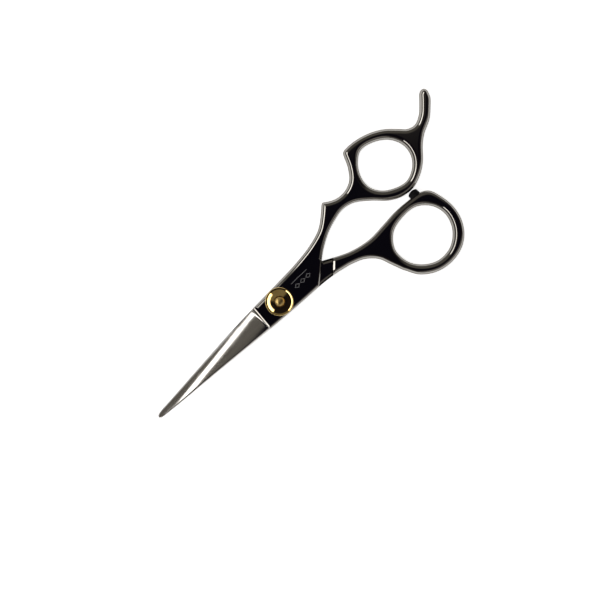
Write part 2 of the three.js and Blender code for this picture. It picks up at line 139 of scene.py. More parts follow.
STEP = 0.36                       # spacing of points along an outline
GRID = 0.9                        # spacing of the points between the outlines
GRID_ROW = 0.866                  # its rows are this share of it apart, for even triangles
GRID_EDGE, GRID_LINE = 0.4, 0.35  # shares of it kept clear beside roundings and feature lines
ROW_SLACK = 0.02                  # a row's point is dropped when another outline is nearer by this
LINE_CLEAR = 0.03                 # a feature line's points keep this far from every outline
TURNED_SIDES = 72                 # round the stud, its bore and the screw
CHUNK = 2000                      # points measured against an outline at a time
TINY = 1e-6                       # under this a radius or a rounding counts as none
NO_AREA = 1e-9                    # triangles under this are dropped
MERGE = 1e-5                      # points nearer than this become one
WELD = 1e-7                       # the same for a finished mesh, in metres
ROUND_MARGIN = 1.25               # the grid keeps this many roundings away from an outline
# Rows of points across an edge rounding, as shares of its width from the outline.
ROUND_ROWS = (0, 0.008, 0.03, 0.08, 0.16, 0.26, 0.37, 0.48, 0.6, 0.73, 0.81, 0.9, 0.95, 1.0, ROUND_MARGIN)


def catmull(points, closed, per_span=24):
    """A smooth centripetal curve through the points, sampled densely."""
    p = np.array(points, float)
    if closed:
        p = np.vstack([p[-1:], p, p[:2]])
    else:
        p = np.vstack([2 * p[:1] - p[1:2], p, 2 * p[-1:] - p[-2:-1]])
    out = []
    for a, b, c, d in zip(p[:-3], p[1:-2], p[2:-1], p[3:]):
        t0 = 0.0
        t1 = t0 + np.linalg.norm(b - a) ** 0.5
        t2 = t1 + np.linalg.norm(c - b) ** 0.5
        t3 = t2 + np.linalg.norm(d - c) ** 0.5
        t = np.linspace(t1, t2, per_span, endpoint=False)[:, None]
        ab = (t1 - t) / (t1 - t0) * a + (t - t0) / (t1 - t0) * b
        bc = (t2 - t) / (t2 - t1) * b + (t - t1) / (t2 - t1) * c
        cd = (t3 - t) / (t3 - t2) * c + (t - t2) / (t3 - t2) * d
        abc = (t2 - t) / (t2 - t0) * ab + (t - t0) / (t2 - t0) * bc
        bcd = (t3 - t) / (t3 - t1) * bc + (t - t1) / (t3 - t1) * cd
        out.append((t2 - t) / (t2 - t1) * abc + (t - t1) / (t2 - t1) * bcd)
    if not closed:
        out.append(p[-2:-1])
    return np.vstack(out)


def resample(curve, step, closed):
    """Even spacing along a sampled curve; an open curve keeps its ends."""
    if closed:
        curve = np.vstack([curve, curve[:1]])
    lengths = np.r_[0, np.cumsum(np.linalg.norm(np.diff(curve, axis=0), axis=1))]
    count = max(2, int(round(lengths[-1] / step)))
    at = np.linspace(0, lengths[-1], count + 1)
    if closed:
        at = at[:-1]
    return np.c_[np.interp(at, lengths, curve[:, 0]), np.interp(at, lengths, curve[:, 1])]


def outline(runs):
    """Closed outline points and the edge rounding at each."""
    points, rounds = [], []
    for start, end, run in runs:
        line = resample(catmull(run, False), STEP if len(run) > 3 else STEP / 2, False)[:-1]
        points.append(line)
        rounds.append(np.linspace(start, end, len(line)))
    return np.vstack(points), np.concatenate(rounds)


def ring_outline(points, rounding):
    """A smooth closed hole and the edge rounding along it."""
    line = resample(catmull(points, True), STEP, True)
    return line, np.full(len(line), rounding)


def circle_outline(radius, rounding, count=64):
    """A circle round the pivot and the edge rounding along it."""
    a = np.linspace(0, 2 * math.pi, count, endpoint=False)
    return np.c_[radius * np.cos(a), radius * np.sin(a)], np.full(count, rounding)


def cross_2d(a, b, c):
    """Twice the signed area of each triangle."""
    return (b[:, 0] - a[:, 0]) * (c[:, 1] - a[:, 1]) - (b[:, 1] - a[:, 1]) * (c[:, 0] - a[:, 0])


def inside(loop, q):
    """Even-odd test of points q against a closed loop."""
    a, b = loop, np.roll(loop, -1, axis=0)
    hit = np.zeros(len(q), bool)
    for (x0, y0), (x1, y1) in zip(a, b):
        if y0 == y1:
            continue
        crosses = (q[:, 1] < y0) != (q[:, 1] < y1)
        hit ^= crosses & (q[:, 0] < (x1 - x0) * (q[:, 1] - y0) / (y1 - y0) + x0)
    return hit


def nearest(loops, q):
    """Distance from each point to the nearest outline, and the edge rounding there."""
    best = np.full(len(q), math.inf)
    rounding = np.zeros(len(q))
    for points, rounds in loops:
        a, b = points, np.roll(points, -1, axis=0)
        ra, rb = rounds, np.roll(rounds, -1)
        ab = b - a
        length2 = (ab ** 2).sum(1)
        for i in range(0, len(q), CHUNK):
            chunk = q[i:i + CHUNK]
            t = ((chunk[:, None, :] - a[None]) * ab[None]).sum(2) / length2[None]
            t = np.clip(t, 0, 1)
            d = np.linalg.norm(a[None] + t[..., None] * ab[None] - chunk[:, None, :], axis=2)
            k = d.argmin(1)
            row = np.arange(len(chunk))
            near = d[row, k]
            r = ra[k] + t[row, k] * (rb[k] - ra[k])
            better = near < best[i:i + CHUNK]
            best[i:i + CHUNK][better] = near[better]
            rounding[i:i + CHUNK][better] = r[better]
    return best, rounding


def inward(points, hole):
    """Unit normals pointing into the metal."""
    tangent = np.roll(points, -1, axis=0) - np.roll(points, 1, axis=0)
    normal = np.c_[-tangent[:, 1], tangent[:, 0]]
    normal /= np.linalg.norm(normal, axis=1)[:, None]
    x, y = points[:, 0], points[:, 1]
    area = 0.5 * np.sum(x * np.roll(y, -1) - np.roll(x, -1) * y)
    return normal * (1 if (area > 0) != hole else -1)


class Sheet:
    """A triangulated outline with rows of points that follow its edges and its feature lines."""

    def __init__(self, loops, features):
        verts, edges = [], []
        for k, (points, rounds) in enumerate(loops):
            normal = inward(points, k > 0)
            for share in ROUND_ROWS:
                row = points + normal * (share * rounds)[:, None]
                if share > 0:
                    d, _ = nearest(loops, row)
                    ok = (d > share * rounds - ROW_SLACK) & inside(loops[0][0], row)
                else:
                    ok = np.ones(len(row), bool)
                self._add_line(verts, edges, row, ok, True)
        for line in features:
            ok = inside(loops[0][0], line)
            d, _ = nearest(loops, line)
            self._add_line(verts, edges, line, ok & (d > LINE_CLEAR), False)
        low, high = loops[0][0].min(0), loops[0][0].max(0)
        xs = np.arange(low[0], high[0], GRID)
        ys = np.arange(low[1], high[1], GRID * GRID_ROW)
        gx, gy = np.meshgrid(xs, ys)
        gx = gx + (np.arange(len(ys)) % 2)[:, None] * GRID / 2
        q = np.c_[gx.ravel(), gy.ravel()]
        d, r = nearest(loops, q)
        keep = inside(loops[0][0], q) & (d > r * ROUND_MARGIN + GRID * GRID_EDGE)
        for points, _ in loops[1:]:
            keep &= ~inside(points, q)
        for line in features:
            near = np.min(np.linalg.norm(q[:, None] - line[None], axis=2), axis=1)
            keep &= near > GRID * GRID_LINE
        verts += [Vector(p) for p in q[keep]]
        out = delaunay_2d_cdt(verts, edges, [], 0, MERGE, False)
        self.points = np.array([tuple(v) for v in out[0]])
        faces = np.array(out[2])
        centre = self.points[faces].mean(1)
        keep = inside(loops[0][0], centre)
        for points, _ in loops[1:]:
            keep &= ~inside(points, centre)
        self.faces = faces[keep]
        cross = cross_2d(*(self.points[self.faces[:, i]] for i in range(3)))
        self.faces = self.faces[np.abs(cross) > NO_AREA]
        cross = cross[np.abs(cross) > NO_AREA]
        self.faces[cross < 0] = self.faces[cross < 0][:, ::-1]
        self.distance, self.rounding = nearest(loops, self.points)

    @staticmethod
    def _add_line(verts, edges, row, ok, closed):
        """Adds a row's usable points, and an edge between each two that are neighbours."""
        index = np.full(len(row), -1)
        index[ok] = len(verts) + np.arange(ok.sum())
        verts += [Vector(p) for p in row[ok]]
        last = len(row) if closed else len(row) - 1
        for i in range(last):
            j = (i + 1) % len(row)
            if ok[i] and ok[j]:
                edges.append((int(index[i]), int(index[j])))

    def drop(self):
        """How far the surface falls towards the outline: a gentle facet, then an elliptical curve."""
        r = np.maximum(self.rounding, TINY)
        u = np.clip(1 - self.distance / r, 0, 1)
        t = np.clip(u / FACET_EASE, 0, 1)
        facet = FACET_SLOPE * (FACET_EASE * (t ** 3 - t ** 4 / 2) + np.maximum(u - FACET_EASE, 0))
        v = np.clip((u - CURVE_START) / (1 - CURVE_START), 0, 1)
        curve = CURVE_DEPTH * (1 - CURVE_START) * (1 - np.sqrt(1 - v ** 2))
        return r * (facet + curve)

    def solid(self, name, top, bottom, walls=4):
        """Closes the sheet into a solid between two height fields."""
        used, faces = np.unique(self.faces, return_inverse=True)
        faces = faces.reshape(-1, 3)
        xy = self.points[used]
        zt, zb = top[used], bottom[used]
        count = len(used)
        # A dict keeps the edges in one order from run to run.
        edges = dict.fromkeys((int(f[i]), int(f[(i + 1) % 3])) for f in faces for i in range(3))
        border = [(a, b) for (a, b) in edges if (b, a) not in edges]
        rim = sorted({a for a, _ in border})
        verts = [np.c_[xy, zt], np.c_[xy, zb]]
        level = {v: [v] for v in rim}
        base = 2 * count
        for k in range(1, walls):
            share = k / walls
            z = zt[rim] * (1 - share) + zb[rim] * share
            verts.append(np.c_[xy[rim], z])
            for i, v in enumerate(rim):
                level[v].append(base + i)
            base += len(rim)
        for v in rim:
            level[v].append(v + count)
        polys = [tuple(map(int, f)) for f in faces]
        polys += [tuple(int(i) + count for i in f[::-1]) for f in faces]
        for a, b in border:
            la, lb = level[a], level[b]
            for k in range(walls):
                polys.append((la[k], la[k + 1], lb[k + 1], lb[k]))
        mesh = bpy.data.meshes.new(name)
        mesh.from_pydata((np.vstack(verts) * MM).tolist(), [], polys)
        mesh.validate()
        return mesh


def finish_mesh(name, mesh, body, material, replaces=None, sharp=32):
    """Adds the mesh as a piece, creased where faces meet at more than sharp degrees."""
    bm = bmesh.new()
    bm.from_mesh(mesh)
    bmesh.ops.remove_doubles(bm, verts=bm.verts, dist=WELD)
    bmesh.ops.recalc_face_normals(bm, faces=bm.faces)
    limit = math.radians(sharp)
    for edge in bm.edges:
        edge.smooth = len(edge.link_faces) != 2 or edge.calc_face_angle(0) < limit
    for face in bm.faces:
        face.smooth = True
    bm.to_mesh(mesh)
    bm.free()
    piece = bpy.data.objects.new(name, mesh)
    bpy.context.scene.collection.objects.link(piece)
    piece.data.materials.append(material)
    weighted = piece.modifiers.new("flat_faces_stay_flat", "WEIGHTED_NORMAL")
    weighted.mode = "FACE_AREA"
    weighted.keep_sharp = True
    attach(piece, body)
    if replaces:
        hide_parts(*replaces)
    return piece


# ------------------------------------------------------------------ blade surfaces
# Each line gives y at x as its value at the ricasso's end, its slope and its bend.
SPINE_LINE = (4.6, -0.0766, -0.00014)
CUTTING_LINE = (-4.62, 0.0755, 0)
RIDGE_LINE = (-3.5, 0.118, 0)
BAND_SLOPE = 0.42                 # slope across the blade where it catches the softbox
CROWN = 0.06                      # how fast that slope grows towards the cutting edge, per mm
EDGE_CROWN = 0.03                 # added growth below the bright band


def blade_lines(x):
    """Spine, cutting edge and bright ridge of the finger blade, as y at x."""
    u = x - RICASSO_END
    lines = (SPINE_LINE, CUTTING_LINE, RIDGE_LINE)
    return [start + slope * u + bend * u ** 2 for start, slope, bend in lines]


def blade_rise(x, y):
    """Height of the ground face above the inner face, with the cutting edge at CUT_EDGE."""
    spine, edge, ridge = blade_lines(x)
    y = np.clip(y, edge, spine)

    def slope_sum(y0, y1):
        """Integral of the slope from y0 to y1."""
        rise = BAND_SLOPE * (y1 - y0) + CROWN * ((ridge - y0) ** 2 - (ridge - y1) ** 2) / 2
        below0 = np.maximum(ridge - y0, 0)
        below1 = np.maximum(ridge - y1, 0)
        return rise + EDGE_CROWN * (below0 ** 2 - below1 ** 2) / 2
    return CUT_EDGE + slope_sum(edge, y)


def smoothstep(t):
    """From 0 to 1 with level ends."""
    t = np.clip(t, 0, 1)
    return t * t * (3 - 2 * t)


STEP_FOOT_X = 8.75                # foot of the step from the ricasso down to the ground blade
STEP_LIP = 0.3                    # plan width of the polished facet above that step
STEP_FILLET = 0.7                 # plan width of the fillet below it
FILLET_SLOPE = 0.38               # the fillet's slope where it meets the step
STEP_WALL = 0.3                   # plan width of the step's wall at the spine
STEP_FLARE = 0.07                 # how fast it widens towards the cutting edge
FLARE_START, FLARE_SPAN = 3.4, 8  # where across the blade it does so
HOLLOW_START, HOLLOW_EASE = 6, 8  # the hollow grind deepens over this stretch along the blade
HOLLOW_END, HOLLOW_FADE = 2, 30   # and ends this far from the tip, after fading over this length


def step_width(y):
    """Plan width of the step's wall, which widens towards the cutting edge."""
    return STEP_WALL + STEP_FLARE * np.clip(FLARE_START - y, 0, FLARE_SPAN)


def outer_face(x, y, drop, ricasso_height):
    """Outer face of a half above its inner plane: flat ricasso, facet, wall, fillet, ground blade."""
    width = step_width(y)
    past_front = x - (STEP_FOOT_X - width)
    wall = smoothstep(past_front / width)
    ricasso = ricasso_height - FACET_SLOPE * np.clip(past_front + STEP_LIP, 0, STEP_LIP)
    left = np.clip(1 - (x - STEP_FOOT_X) / STEP_FILLET, 0, 1)
    ground = blade_rise(x, y) + FILLET_SLOPE * STEP_FILLET * left ** 2 / 2
    height = (1 - wall) * ricasso + wall * np.minimum(ground, ricasso)
    return height - np.minimum(drop, np.maximum(height - CUT_EDGE, 0))


SHOULDER_POINT = np.array([-20.9, 4.15])
SHOULDER_ANGLE = math.radians(45.7)
SHOULDER_WALL = 0.3               # plan width of the steep part of the step
SHOULDER_FACET = 0.6              # plan width of the polished facet above it
SHOULDER_REACH = 9                # its rows run this far each way, past the metal
SHOULDER_NORMAL = np.array([-math.sin(SHOULDER_ANGLE), math.cos(SHOULDER_ANGLE)])


def shoulder_side(x, y):
    """Distance past the shoulder, towards the handle, on the thumb side."""
    return (x - SHOULDER_POINT[0]) * SHOULDER_NORMAL[0] + (y - SHOULDER_POINT[1]) * SHOULDER_NORMAL[1]


def shoulder_share(distance, height):
    """Share of the step's height reached at a distance past the shoulder: a steep wall, then a facet."""
    facet = FACET_SLOPE * SHOULDER_FACET
    wall = smoothstep(distance / SHOULDER_WALL) * (height - facet)
    return (wall + FACET_SLOPE * np.clip(distance - SHOULDER_WALL, 0, SHOULDER_FACET)) / height


def shoulder_lines():
    """Rows of points along the shoulder's wall and facet."""
    along = np.array([math.cos(SHOULDER_ANGLE), math.sin(SHOULDER_ANGLE)])
    t = np.arange(-SHOULDER_REACH, SHOULDER_REACH, STEP)[:, None]
    rows = [SHOULDER_WALL * share for share in (0, 0.2, 0.4, 0.6, 0.8, 1.0)]
    rows += [SHOULDER_WALL + SHOULDER_FACET * share for share in (0.1, 0.5, 0.92, 1.0, 1.1)]
    return [SHOULDER_POINT + SHOULDER_NORMAL * row + along * t for row in rows]


HALF_WIDTH = 5.2                  # the ricasso's half width, a little over
RIDGE_START, RIDGE_END = 9.2, 56  # the rows along the blade lie between these
RIDGE_STEP = 1.6                  # and their points are this many outline steps apart


def ramp_lines():
    """Rows of points across the step from the ricasso to the ground blade."""
    y = np.arange(-HALF_WIDTH, HALF_WIDTH, STEP)
    front = STEP_FOOT_X - step_width(y)
    rows = [front - STEP_LIP * share for share in (1.1, 1.0, 0.92, 0.5, 0.1)]
    rows += [front + step_width(y) * share for share in (0, 0.12, 0.25, 0.4, 0.6, 0.75, 0.88, 1.0)]
    rows += [STEP_FOOT_X + STEP_FILLET * share + 0 * y for share in (0.15, 0.35, 0.6, 0.8, 1.0)]
    return [np.c_[row, y] for row in rows]


def ridge_lines():
    """Rows along the blade, evenly spread from edge to spine."""
    rows = []
    x = np.arange(RIDGE_START, RIDGE_END, STEP * RIDGE_STEP)
    spine, edge, _ = blade_lines(x)
    for share in np.linspace(0.08, 0.92, 9):
        rows.append(np.c_[x, edge + (spine - edge) * share])
    return rows


def hollow(x, y):
    """Hollow grind of the inner face, which leaves a rim along the edges."""
    spine, edge, _ = blade_lines(x)
    across = (y - edge) / np.maximum(spine - edge, 0.1)
    along = np.clip((x - HOLLOW_START) / HOLLOW_EASE, 0, 1)
    along *= np.clip((TIP_X - HOLLOW_END - x) / HOLLOW_FADE, 0, 1)
    return HOLLOW_DEPTH * along * np.clip(4 * across * (1 - across), 0, 1)


def mirrored(lines):
    """The same rows for the other half, across the X axis."""
    return [line * np.array([1, -1]) for line in lines]


def blade_set(x):
    """How far a half's inner face has come towards the other half at x."""
    return BLADE_SET * np.clip((x - RICASSO_END) / (TIP_X - RICASSO_END), 0, 1)


def build_finger_half(material):
    stud_hole = circle_outline(NECK_HOLE_R, NECK_HOLE_ROUND)
    loops = [outline(FINGER_RUNS), ring_outline(FINGER_HOLE, HANDLE_ROUND), stud_hole]
    sheet = Sheet(loops, ramp_lines() + ridge_lines() + mirrored(shoulder_lines()))
    x, y = sheet.points.T
    drop = sheet.drop()
    inner = MIDDLE + HALF_GAP - blade_set(x)
    ricasso = THICK - MIDDLE - HALF_GAP
    top = inner + outer_face(x, y, drop, ricasso)
    handle = shoulder_share(shoulder_side(x, -y), inner)
    half_bottom = inner + np.minimum(hollow(x, y), np.maximum(top - inner - CUT_EDGE, 0) * HOLLOW_LIMIT)
    bottom = half_bottom * (1 - handle) + drop * handle
    mesh = sheet.solid("finger_blade_forging", top, bottom)
    return finish_mesh("finger_blade_forging", mesh, "finger_half", material,
                       ["finger_blade"])


def build_thumb_half(material):
    head_r = STUD_HIGH[1] + HEAD_GAP
    bush_hole = circle_outline(BUSH_HIGH[1] + BUSH_GAP, BUSH_HOLE_ROUND)
    loops = [outline(THUMB_RUNS), ring_outline(THUMB_HOLE, HANDLE_ROUND), bush_hole]
    bore = [circle_outline(head_r + row, 0, TURNED_SIDES)[0] for row in BORE_ROWS]
    bore = [np.vstack([line, line[:1]]) for line in bore]
    sheet = Sheet(loops, mirrored(ramp_lines()) + mirrored(ridge_lines()) + shoulder_lines() + bore)
    x, y = sheet.points.T
    drop = sheet.drop()
    inner = MIDDLE - HALF_GAP + blade_set(x)
    ricasso = MIDDLE - HALF_GAP
    bottom = inner - outer_face(x, -y, drop, ricasso)
    radius = np.hypot(x, y)
    in_bore = radius < head_r + (BORE_ROWS[0] + BORE_ROWS[1]) / 2
    at_mouth = ~in_bore & (radius < head_r + (BORE_ROWS[1] + BORE_ROWS[2]) / 2)
    bottom = np.where(in_bore, STUD_LOW[2] + HEAD_SEAT, bottom)
    bottom = np.where(at_mouth, HEAD_BEVEL, bottom)
    handle = shoulder_share(shoulder_side(x, y), THICK - inner)
    edge_drop = np.minimum(drop, np.maximum(inner - bottom - INNER_EDGE_LEFT, 0)) * INNER_EDGE_SHARE
    limit = np.maximum(inner - bottom - CUT_EDGE, 0) * HOLLOW_LIMIT
    half_top = inner - edge_drop - np.minimum(hollow(x, -y), limit)
    top = half_top * (1 - handle) + (THICK - drop) * handle
    mesh = sheet.solid("thumb_blade_forging", top, bottom)
    return finish_mesh("thumb_blade_forging", mesh, "thumb_half", material,
                       ["thumb_blade"])


# ------------------------------------------------------------------ turned pieces
def lathe(name, profile, sides, tooth=None):
    """Mesh turned about Z from a profile of (radius, z) in millimetres; a closed profile makes a ring."""
    rows = []
    verts = []
    for r, z in profile:
        if r < TINY:
            rows.append([len(verts)])
            verts.append((0, 0, z * MM))
            continue
        row = []
        for i in range(sides):
            a = 2 * math.pi * i / sides
            rr = r * (tooth(r, z, i) if tooth else 1)
            row.append(len(verts))
            verts.append((rr * math.cos(a) * MM, rr * math.sin(a) * MM, z * MM))
        rows.append(row)
    polys = []
    closed = profile[0][0] > TINY
    pairs = list(zip(rows, rows[1:])) + ([(rows[-1], rows[0])] if closed else [])
    for a, b in pairs:
        for i in range(sides):
            j = (i + 1) % sides
            if len(a) == 1:
                polys.append((a[0], b[j], b[i]))
            elif len(b) == 1:
                polys.append((a[i], a[j], b[0]))
            else:
                polys.append((a[i], a[j], b[j], b[i]))
    mesh = bpy.data.meshes.new(name)
    mesh.from_pydata(verts, [], polys)
    return mesh


def arc(centre, radius, start, end, steps):
    """Points on an arc in the profile plane, angles in degrees."""
    out = []
    for k in range(steps + 1):
        a = math.radians(start + (end - start) * k / steps)
        out.append((centre[0] + radius * math.cos(a), centre[1] + radius * math.sin(a)))
    return out


DIAL_TEETH = 56
TOOTH_SIDES = 6                   # points round the dial for each tooth
TOOTH_DEPTH = 0.012               # as a share of the radius
DIAL_BORE = 1.2                   # radius of the threaded hole, a thread's depth under the stud's
RECESS_R, RECESS_ROOM = 4.05, 0.5  # hollow over the spring: radius and height above the click plate
RIM_FLAT = 0.3                    # from the outer face to the inner side of the rim's flat top
RIM_INNER = (0.34, 0.012)         # start of the rim's inner side: inside the outer face, below the top
SKIRT_ROUND, RIM_ROUND = 0.22, 0.24
SKIRT_ROW, RIM_ROW = 0.6, 0.45    # rows of points over the skirt and below the rim
KNURL_MARGIN, KNURL_TOP = 0.02, 0.3  # the knurl is on the outer face, and stops below the rim
WELL = [(0.04, 0.05), (0.1, 0.4)]  # side of the screw's well: inside DOME_IN, below the face
WELL_DEPTH = 0.42                 # its depth at the bore
DOME_ROWS = 17
RIM_SLOPE = 0.44                  # inner side of the raised rim
DOME_IN, DOME_OUT = 1.95, 4.1     # radii between which the face falls away from its middle
DOME_SLOPE = 0.26                 # it falls like a shallow, crowned cone
DOME_CROWN = 0.085


def build_dial(material):
    rim_r = DIAL_HIGH[0]
    top = DIAL_HIGH[2]
    skirt = DIAL_LOW[2]
    recess = PLATE_HIGH[2] + RECESS_ROOM
    dome = []
    for r in np.linspace(DOME_OUT, DOME_IN, DOME_ROWS):
        fall = DOME_SLOPE * (r - DOME_IN) + DOME_CROWN * (r - DOME_IN) ** 2 / 2
        dome.append((r, top - fall))
    rim_top = dome[0][1] + RIM_SLOPE * (rim_r - RIM_FLAT - DOME_OUT)
    profile = [(DIAL_BORE, recess), (RECESS_R, recess), (RECESS_R, skirt), (rim_r - RIM_FLAT, skirt)]
    profile += arc((rim_r - SKIRT_ROUND, skirt + SKIRT_ROUND), SKIRT_ROUND, -90, 0, 4)
    profile += [(rim_r, skirt + SKIRT_ROW), (rim_r, rim_top - RIM_ROW)]
    profile += arc((rim_r - RIM_ROUND, rim_top - RIM_ROUND), RIM_ROUND, 0, 90, 6)
    profile += [(rim_r - RIM_FLAT, rim_top), (rim_r - RIM_INNER[0], rim_top - RIM_INNER[1])]
    profile += dome
    profile += [(DOME_IN - inset, top - depth) for inset, depth in WELL]
    profile.append((DIAL_BORE, top - WELL_DEPTH))

    def knurl(r, z, i):
        """Share of the radius left at a point of the outer face; the teeth are rounded waves."""
        if r < rim_r - KNURL_MARGIN or z > rim_top - KNURL_TOP:
            return 1
        phase = math.cos(2 * math.pi * i / TOOTH_SIDES)
        return 1 - TOOTH_DEPTH * (1 - phase) / 2
    mesh = lathe("tension_dial", profile, DIAL_TEETH * TOOTH_SIDES, knurl)
    return finish_mesh("tension_dial", mesh, "dial", material, ["adjuster_dial"], sharp=40)


SCREW_SHANK = 0.75                # radius
SCREW_SEAT = 0.3                  # its head sits this far down in the dial
SCREW_BEVEL = (0.08, 0.1)         # width and height of the bevel under the head


def build_screw(material):
    low, high = SCREW_LOW[2], SCREW_HIGH[2]
    r = SCREW_HIGH[0]
    seat = DIAL_HIGH[2] - SCREW_SEAT
    profile = [(0, low), (SCREW_SHANK, low), (SCREW_SHANK, seat), (r - SCREW_BEVEL[0], seat),
               (r, seat + SCREW_BEVEL[1])]
    rise = high - seat - SCREW_BEVEL[1]
    sphere = (r * r + rise * rise) / (2 * rise)
    edge = math.degrees(math.acos(r / sphere))
    profile += arc((0, high - sphere), sphere, edge, 90, 18)[1:-1] + [(0, high)]
    mesh = lathe("domed_screw", profile, TURNED_SIDES)
    return finish_mesh("domed_screw", mesh, "finger_half", material, ["retaining_screw"])


STUD_DIMPLE = (0.4, 0.02)         # radius and depth of the dimple in its flush face
STUD_ROUND = 0.2                  # edge of that face
STUD_FLAT = 0.25                  # the face is flat up to this far from its edge
STUD_HEAD = 0.9                   # height of the head
STUD_NECK, NECK_TOP = 2.0, 3.0    # radius and top of the neck
NECK_BEVEL = 0.05                 # height of the bevel above it
STUD_SHANK, STUD_THREAD = 1.6, 1.5
TAP_R, TAP_DEPTH = 0.8, 2.4       # tapped hole for the screw


def build_stud(material):
    r = STUD_HIGH[0]
    top = STUD_HIGH[2]
    profile = [(0, STUD_DIMPLE[1]), (STUD_DIMPLE[0], 0), (r - STUD_FLAT, 0)]
    profile += arc((r - STUD_ROUND, STUD_ROUND), STUD_ROUND, -90, 0, 4)[1:]
    profile += [(r, STUD_HEAD), (STUD_NECK, STUD_HEAD), (STUD_NECK, NECK_TOP),
                (STUD_SHANK, NECK_TOP + NECK_BEVEL), (STUD_SHANK, PLATE_LOW[2]),
                (STUD_THREAD, PLATE_HIGH[2]), (STUD_THREAD, top), (TAP_R, top), (TAP_R, top - TAP_DEPTH),
                (0, top - TAP_DEPTH)]
    mesh = lathe("stud_with_flush_head", profile, TURNED_SIDES)
    return finish_mesh("stud_with_flush_head", mesh, "finger_half", material, ["pivot_stud"])


# ------------------------------------------------------------------ etched ornament
ETCH_CENTRE = np.array([-10.6, 0.3])
ETCH_PITCH = 2.5                  # spacing of the lozenges along the shank
ETCH_HEIGHT = 0.012               # frosted marks stand this far proud of the polish
LOZENGE = [(-1.15, 0), (0, -0.85), (1.15, 0), (0, 0.85)]
LOZENGE_INSIDE = 0.66             # inner corners of a lozenge's line, as a share of the outer ones
RULE = [(-3.6, -1.95), (3.6, -1.95), (3.6, -1.72), (-3.6, -1.72)]


def build_etching(material):
    """A plain generic ornament on the shank: three open lozenges over a rule, all thin closed prisms."""
    verts, polys = [], []

    def add_loop(shape, shift):
        """Adds a loop at the ornament's foot and one at its face; returns where each starts."""
        starts = []
        for z in (THICK - ETCH_HEIGHT, THICK + ETCH_HEIGHT):
            starts.append(len(verts))
            for x, y in shape:
                verts.append(((ETCH_CENTRE[0] + shift + x) * MM, (ETCH_CENTRE[1] + y) * MM, z * MM))
        return starts

    def add_band(a, b, count):
        """Adds the faces between two loops that start at a and b."""
        for i in range(count):
            j = (i + 1) % count
            polys.append((a + i, a + j, b + j, b + i))

    smaller = [(x * LOZENGE_INSIDE, y * LOZENGE_INSIDE) for x, y in LOZENGE]
    for k in (-1, 0, 1):
        low, high = add_loop(LOZENGE, k * ETCH_PITCH)
        inner_low, inner_high = add_loop(smaller, k * ETCH_PITCH)
        for a, b in ((low, high), (high, inner_high), (inner_high, inner_low), (inner_low, low)):
            add_band(a, b, len(LOZENGE))
    low, high = add_loop(RULE, 0)
    add_band(low, high, len(RULE))
    polys.append(tuple(range(low, low + len(RULE)))[::-1])
    polys.append(tuple(range(high, high + len(RULE))))
    mesh = bpy.data.meshes.new("etched_ornament")
    mesh.from_pydata(verts, [], polys)
    return finish_mesh("etched_ornament", mesh, "finger_half", material)


# ------------------------------------------------------------------ bumper
BUMPER_ROWS, BUMPER_SIDES = 15, 40
BUMPER_SINK = 0.35                # it runs this far into the thumb ring's rounded edge
NOSE_START, NOSE_GROWTH = 0.05, 3.2  # how soon the nose reaches its full section
BUMPER_TAPER = 0.1                # share of its width lost towards the nose
BUMPER_DRAFT = 0.25               # height lost towards the nose, on each side
SQUARENESS = 0.62                 # 1 makes an ellipse, and less a squarer section


def build_bumper(material):
    """Moulded rubber block: a rounded wedge, wide at the thumb ring, with a bulged nose."""
    low, high = BUMPER_LOW, BUMPER_HIGH
    cx = (low[0] + high[0]) / 2
    z_mid = (low[2] + high[2]) / 2
    half_z = (high[2] - low[2]) / 2
    rows, cols = BUMPER_ROWS, BUMPER_SIDES
    verts, polys = [], []
    y_base = high[1] + BUMPER_SINK
    for i in range(rows):
        t = i / (rows - 1)
        y = low[1] + (y_base - low[1]) * t
        grow = math.sin(min(1, t * NOSE_GROWTH + NOSE_START) * math.pi / 2) ** 0.5
        half_x = (high[0] - low[0]) / 2 * (1 - BUMPER_TAPER + BUMPER_TAPER * t) * grow
        hz = (half_z - BUMPER_DRAFT + BUMPER_DRAFT * t) * grow
        for j in range(cols):
            a = 2 * math.pi * j / cols
            c, s = math.cos(a), math.sin(a)
            px = half_x * math.copysign(abs(c) ** SQUARENESS, c)
            pz = hz * math.copysign(abs(s) ** SQUARENESS, s)
            verts.append(((cx + px) * MM, y * MM, (z_mid + pz) * MM))
    for i in range(rows - 1):
        for j in range(cols):
            k = (j + 1) % cols
            polys.append((i * cols + j, i * cols + k, (i + 1) * cols + k, (i + 1) * cols + j))
    polys.append(tuple(range(cols))[::-1])
    polys.append(tuple((rows - 1) * cols + j for j in range(cols)))
    mesh = bpy.data.meshes.new("ring_bumper")
    mesh.from_pydata(verts, [], polys)
    return finish_mesh("ring_bumper", mesh, "thumb_half", material, ["bumper"], sharp=60)


# ------------------------------------------------------------------ materials
def new_material(name, color, metallic, roughness):
    """A material, its tree, its shader and its object coordinates."""
    material = bpy.data.materials.new(name)
    material.use_nodes = True
    tree = material.node_tree
    shader = tree.nodes["Principled BSDF"]
    shader.inputs["Base Color"].default_value = (*color, 1)
    shader.inputs["Metallic"].default_value = metallic
    shader.inputs["Roughness"].default_value = roughness
    coords = tree.nodes.new("ShaderNodeTexCoord")
    return material, tree, shader, coords.outputs["Object"]


def noise(tree, coords, scale, detail, stretch=(1, 1, 1)):
    """Noise with scale cells to the metre, more or fewer along each axis as stretch says."""
    mapping = tree.nodes.new("ShaderNodeMapping")
    mapping.inputs["Scale"].default_value = [scale * s for s in stretch]
    tree.links.new(coords, mapping.inputs["Vector"])
    n = tree.nodes.new("ShaderNodeTexNoise")
    n.inputs["Scale"].default_value = 1.0
    n.inputs["Detail"].default_value = detail
    tree.links.new(mapping.outputs["Vector"], n.inputs["Vector"])
    return n.outputs["Fac"]


